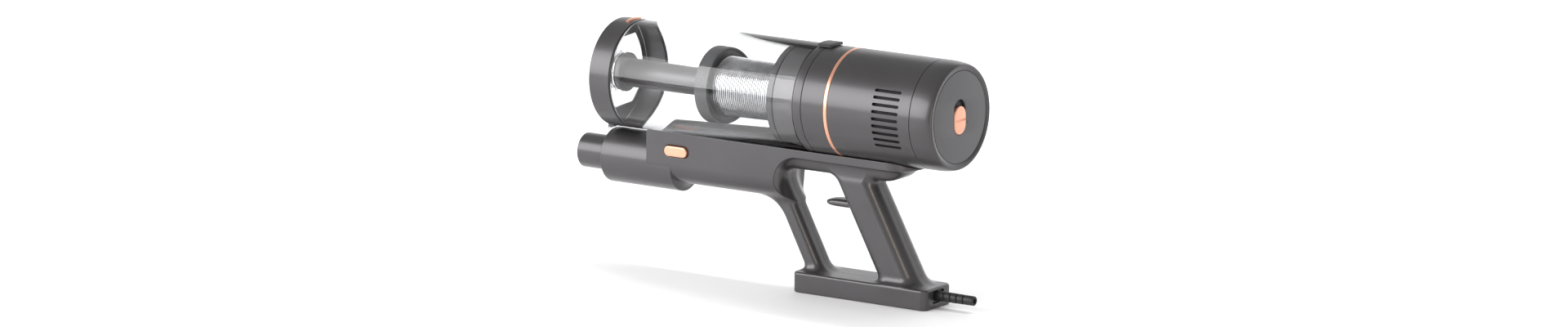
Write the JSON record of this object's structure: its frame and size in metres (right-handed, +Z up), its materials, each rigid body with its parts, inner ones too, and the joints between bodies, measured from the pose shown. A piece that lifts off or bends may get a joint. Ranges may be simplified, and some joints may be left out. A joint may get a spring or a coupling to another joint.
{
  "type": "handheld vacuum",
  "caption": "Handheld vacuum: clear dust cup on a round motor housing, closed hand loop with trigger, foot plate, and a round inlet tube.",
  "frame": {"origin": "middle of the whole object in plan, on the underside of the foot", "axes": "+X from the inlet towards the motor end, -Y the user's left-hand side, +Z up"},
  "size_m": [0.428, 0.1002, 0.2302],
  "materials": {
    "gunmetal": "satin metallic grey",
    "face_grey": "satin",
    "copper_trim": "metallic copper",
    "charcoal": "satin",
    "clear": "clear",
    "steel": "bright",
    "windings": "lacquered",
    "rubber": "matt",
    "foam": "matt",
    "board": "satin",
    "white_plastic": "satin"
  },
  "bodies": {
    "main": {"motor_housing": "gunmetal", "rear_cap": "gunmetal", "separator_collar": "gunmetal", "centre_tube": "gunmetal", "handle_shell_left": "gunmetal", "handle_shell_right": "gunmetal", "rear_face_plate": "face_grey", "accent_ring": "copper_trim", "cyclone_skirt": "charcoal", "screen_frame": "charcoal", "fan_shroud": "charcoal", "foot_cover": "charcoal", "tube_socket": "charcoal", "inlet_duct": "charcoal", "riser_duct": "charcoal", "trigger_switch": "charcoal", "motor_can": "steel", "front_bearing": "steel", "rear_bearing": "steel", "mesh_screen": "steel", "catch_pin": "steel", "trigger_pin": "steel", "trigger_spring": "steel", "button_spring": "steel", "handle_screw_1": "steel", "handle_screw_2": "steel", "handle_screw_3": "steel", "handle_screw_4": "steel", "foot_screw_1": "steel", "foot_screw_2": "steel", "stator": "windings", "front_motor_mount": "rubber", "rear_motor_mount": "rubber", "collar_seal": "rubber", "strain_relief": "rubber", "cord_gland": "rubber", "exhaust_filter": "foam", "speed_board": "board", "control_board": "board", "cyclone_cone": "white_plastic", "pre_filter": "white_plastic", "switch_bracket": "white_plastic"},
    "rotor": {"motor_shaft": "steel", "rotor_core": "steel", "impeller": "charcoal"},
    "speed_slider": {"speed_slider": "copper_trim"},
    "trigger": {"trigger": "gunmetal"},
    "tube_button": {"tube_release_button": "copper_trim"},
    "inlet": {"inlet_tube": "gunmetal"},
    "cup": {"dust_cup": "clear", "front_ring": "gunmetal", "cup_end_ring": "gunmetal", "cup_gasket": "rubber", "lid_hinge_pin": "steel"},
    "lid": {"lid_frame": "charcoal", "lid_window": "clear", "lid_seal": "rubber"},
    "lid_latch": {"lid_latch": "copper_trim"},
    "cup_catch": {"cup_catch": "charcoal"}
  },
  "joints": [
    {"name": "rotor_spin", "type": "hinge", "parent": "main", "child": "rotor", "pos_m": [0.115, 0, 0.177], "axis": [1, 0, 0], "continuous": true},
    {"name": "speed_slide", "type": "slide", "parent": "main", "child": "speed_slider", "axis": [0, 0, 1], "range_m": [0, 0.0058]},
    {"name": "trigger_pull", "type": "hinge", "parent": "main", "child": "trigger", "pos_m": [0.097, 0, 0.0845], "axis": [0, 1, 0], "range_deg": [0, 8], "stiffness_Nm_per_rad": 1.5, "springref_deg": -2.86},
    {"name": "tube_button_press", "type": "slide", "parent": "main", "child": "tube_button", "axis": [0, 1, 0], "range_m": [0, 0.0025], "stiffness_N_per_m": 800, "springref_m": -0.001},
    {"name": "tube_pull", "type": "slide", "parent": "main", "child": "inlet", "axis": [-1, 0, 0], "range_m": [0, 0.07]},
    {"name": "cup_off", "type": "slide", "parent": "main", "child": "cup", "axis": [-1, 0, 0], "range_m": [0, 0.235]},
    {"name": "lid_open", "type": "hinge", "parent": "cup", "child": "lid", "pos_m": [-0.1776, 0, 0.1282], "axis": [0, -1, 0], "range_deg": [0, 90]},
    {"name": "lid_latch_press", "type": "slide", "parent": "cup", "child": "lid_latch", "axis": [0, 0, -1], "range_m": [0, 0.0015], "stiffness_N_per_m": 1200, "springref_m": -0.0005},
    {"name": "cup_catch_lift", "type": "hinge", "parent": "main", "child": "cup_catch", "pos_m": [0.0625, 0, 0.2252], "axis": [0, 1, 0], "range_deg": [0, 10], "stiffness_Nm_per_rad": 0.3, "springref_deg": -5.73}
  ]
}
